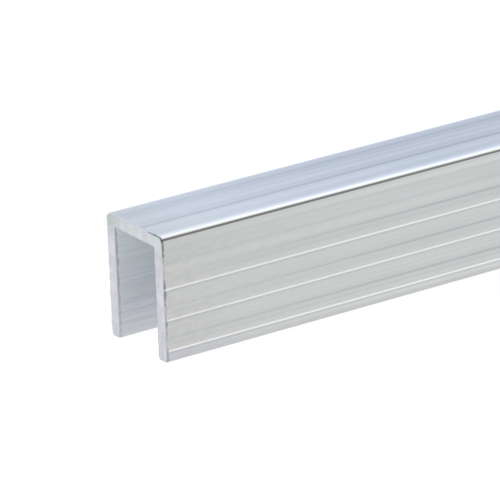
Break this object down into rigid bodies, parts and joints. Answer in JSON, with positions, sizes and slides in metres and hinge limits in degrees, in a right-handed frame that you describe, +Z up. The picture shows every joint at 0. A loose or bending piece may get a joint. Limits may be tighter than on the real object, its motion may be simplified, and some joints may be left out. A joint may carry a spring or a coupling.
{
  "type": "aluminium extrusion profile",
  "caption": "Square U-section aluminium extrusion with fine ridges along its outer flanges, which caps or edges a thin panel.",
  "frame": {"origin": "midway along the bar, centred between the flanges, at the level of the flange tips", "axes": "+X along the bar, +Y across it from one flange to the other, +Z up from the flange tips to the web"},
  "size_m": [0.5, 0.0102, 0.013],
  "materials": {
    "mill_aluminium": "bare mill finish as extruded, with fine die lines along its length and square-sawn ends"
  },
  "bodies": {
    "root": {"u_channel": "mill_aluminium"}
  },
  "joints": []
}
